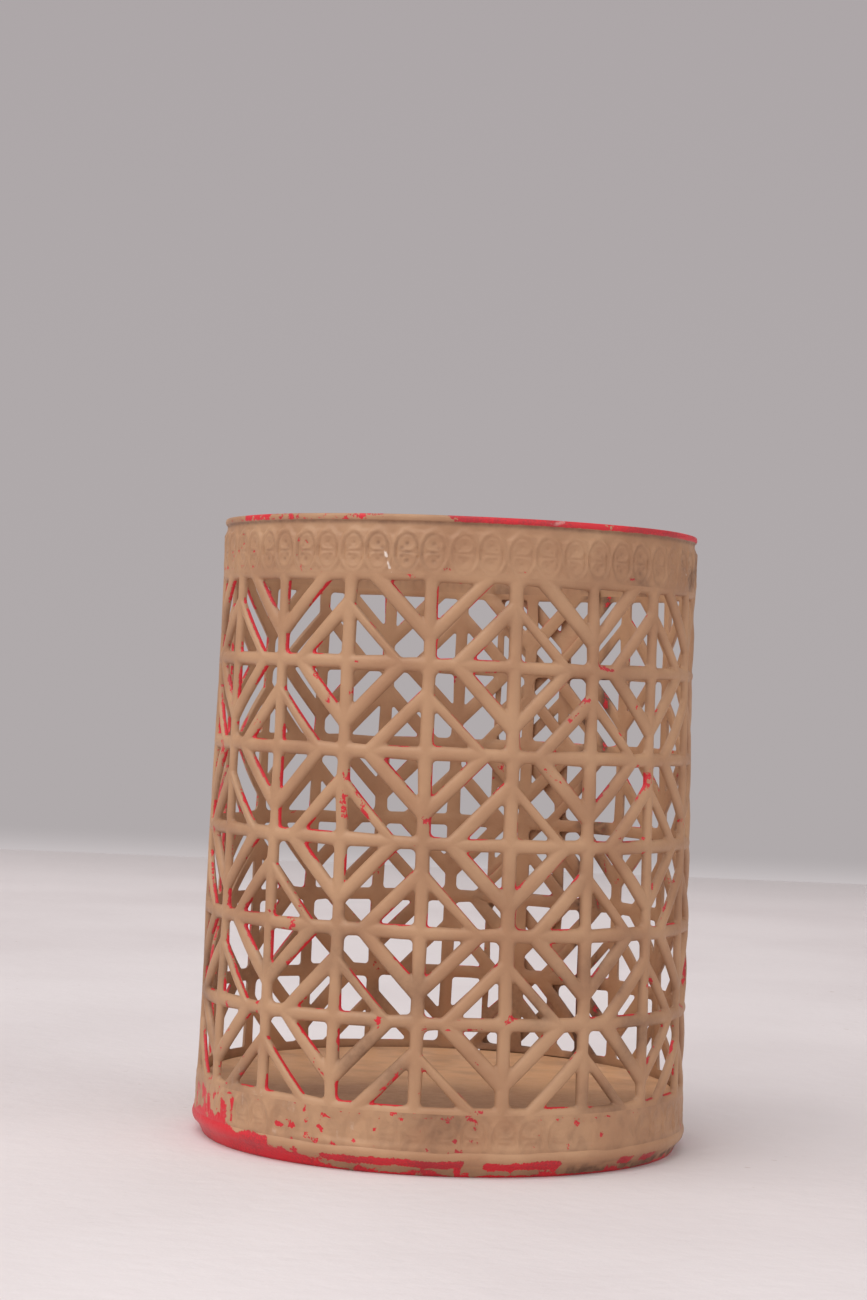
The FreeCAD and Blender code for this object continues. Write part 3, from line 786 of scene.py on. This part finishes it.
def table_material(name):
    """The pale table top: faint smudges and specks, fading into the grey of the wall at its far edge."""
    finish = Finish(name)
    away = finish.node("ShaderNodeSeparateXYZ", None, {0: finish.coordinates()}, output=1)
    paint = finish.mix(finish.noise(9, 4).step(0.35, 0.7), TABLE, TABLE_SMUDGE)
    crumbs = finish.noise(420, 2).step(0.70, 0.76) * finish.noise(14, 2).step(0.5, 0.62)
    paint = finish.mix(crumbs * 0.5, paint, CRUMBS)
    colour = finish.mix(away.step(0.42, 0.70), paint, TABLE_EDGE)
    return finish.done(finish.surface(colour, 0.75, finish.noise(260, 4), TABLE_DEPTH, 0.6))


def wall_material(name):
    """The wall behind: the camera sees it in one soft grey, a little paler just above the table."""
    finish = Finish(name)
    height = finish.node("ShaderNodeSeparateXYZ", None, {0: finish.coordinates()}, output=2)
    grey = finish.mix(height.step(0.0, 0.6), WALL_LOW, WALL_HIGH)
    seen_colour = finish.mix(height.step(-0.008, 0.010), WALL_FOOT, grey)
    seen = finish.node("ShaderNodeEmission", None, {"Color": seen_colour, "Strength": 1.0})
    lit = finish.node("ShaderNodeBsdfPrincipled", None, {"Base Color": grey, "Roughness": 0.8})
    by_camera = finish.node("ShaderNodeLightPath")
    return finish.done(finish.node("ShaderNodeMixShader", None, {0: by_camera, 1: lit, 2: seen}))


# ---- stage, lamps and camera -------------------------------------------------------------------


TABLE_NEAR, TABLE_FAR, STAGE_SIDE = -2.0, 0.64, 3.0
WALL_AWAY, WALL_BOTTOM, WALL_TOP = TABLE_FAR + 0.01, -0.4, 2.4


def make_plane(name, corners, material):
    """A four-cornered face that belongs to the stage."""
    mesh = bpy.data.meshes.new(name)
    mesh.from_pydata(corners, [], [(0, 1, 2, 3)])
    mesh.materials.append(material)
    plane = bpy.data.objects.new(name, mesh)
    bpy.context.collection.objects.link(plane)


def make_stage():
    """A pale table top that ends behind the holder, and a grey wall beyond it."""
    left, right = -STAGE_SIDE, STAGE_SIDE
    table = [(left, TABLE_NEAR, 0), (right, TABLE_NEAR, 0), (right, TABLE_FAR, 0), (left, TABLE_FAR, 0)]
    make_plane("table_top", table, table_material("table_paint"))
    wall = [(left, WALL_AWAY, WALL_BOTTOM), (right, WALL_AWAY, WALL_BOTTOM)]
    wall += [(right, WALL_AWAY, WALL_TOP), (left, WALL_AWAY, WALL_TOP)]
    make_plane("wall", wall, wall_material("wall_paint"))


def make_lamp(name, place_at, size, power, colour):
    """A square lamp that is turned to the middle of the holder."""
    lamp = bpy.data.lights.new(name, "AREA")
    lamp.shape, lamp.size, lamp.energy, lamp.color = "SQUARE", size, power, colour
    holder = bpy.data.objects.new(name, lamp)
    holder.location = place_at
    aim = Vector((0, 0, 0.05)) - holder.location
    holder.rotation_euler = aim.to_track_quat("-Z", "Y").to_euler()
    bpy.context.collection.objects.link(holder)


def make_light():
    """Soft daylight from above and the left, a weak fill from the right, and an even surround."""
    make_lamp("window", (-0.55, -0.45, 1.05), 1.3, 10.8, (1.0, 0.985, 0.965))
    make_lamp("fill", (0.9, -0.9, 0.7), 1.2, 2.6, (1.0, 0.96, 0.94))
    world = bpy.data.worlds.new("surround")
    world.use_nodes = True
    world.node_tree.nodes["Background"].inputs["Color"].default_value = (1.0, 0.985, 0.98, 1)
    world.node_tree.nodes["Background"].inputs["Strength"].default_value = 0.69
    bpy.context.scene.world = world


CAMERA_HEIGHT = 0.07069
CAMERA_BACK = 0.43733
CAMERA_PITCH = -0.0121
CAMERA_YAW = -0.0084
CAMERA_ROLL = 0.0404
CAMERA_LENS = 77.1


def make_camera():
    """The camera looks along +Y, a little upwards, and is rolled by some two degrees.

    Its three angles are in radians, and its lens is in millimetres.
    """
    camera = bpy.data.cameras.new("camera")
    camera.lens, camera.sensor_width, camera.clip_start = CAMERA_LENS, 36.0, 0.01
    flat_ahead = Vector((math.sin(CAMERA_YAW), math.cos(CAMERA_YAW), 0))
    ahead = flat_ahead * math.cos(CAMERA_PITCH) - Vector((0, 0, math.sin(CAMERA_PITCH)))
    level = Vector((math.cos(CAMERA_YAW), -math.sin(CAMERA_YAW), 0))
    upward = level.cross(ahead)
    right = math.cos(CAMERA_ROLL) * level + math.sin(CAMERA_ROLL) * upward
    up = -math.sin(CAMERA_ROLL) * level + math.cos(CAMERA_ROLL) * upward
    turn = Matrix((right, up, -ahead)).transposed().to_4x4()
    holder = bpy.data.objects.new("camera", camera)
    holder.matrix_world = Matrix.Translation((0, -CAMERA_BACK, CAMERA_HEIGHT)) @ turn
    bpy.context.collection.objects.link(holder)
    bpy.context.scene.camera = holder


# ---- the holder --------------------------------------------------------------------------------


def dress(piece, material, node):
    """Gives a new piece its material and its body, and hides the part that it stands for."""
    piece.data.materials.append(material)
    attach(piece, "root")
    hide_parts(node)


def main():
    bpy.context.scene.view_settings.view_transform = "Standard"
    wall_paint = painted("worn_wall_paint_and_shade")
    pan_paint = painted("worn_pan_paint_and_shade", dusty=True)
    # the solder drops are drawn darker than the paint round them
    solder_paint = painted("painted_solder_drops", extra_darkness=0.7)
    for make in (make_lattice, make_top_band, make_low_band):
        dress(make(), wall_paint, "pierced_wall")
    dress(make_pan(), pan_paint, "base_pan")
    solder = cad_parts["seam_solder"]
    for slot in solder.material_slots:
        slot.material = solder_paint
    make_stage()
    make_light()
    make_camera()


main()
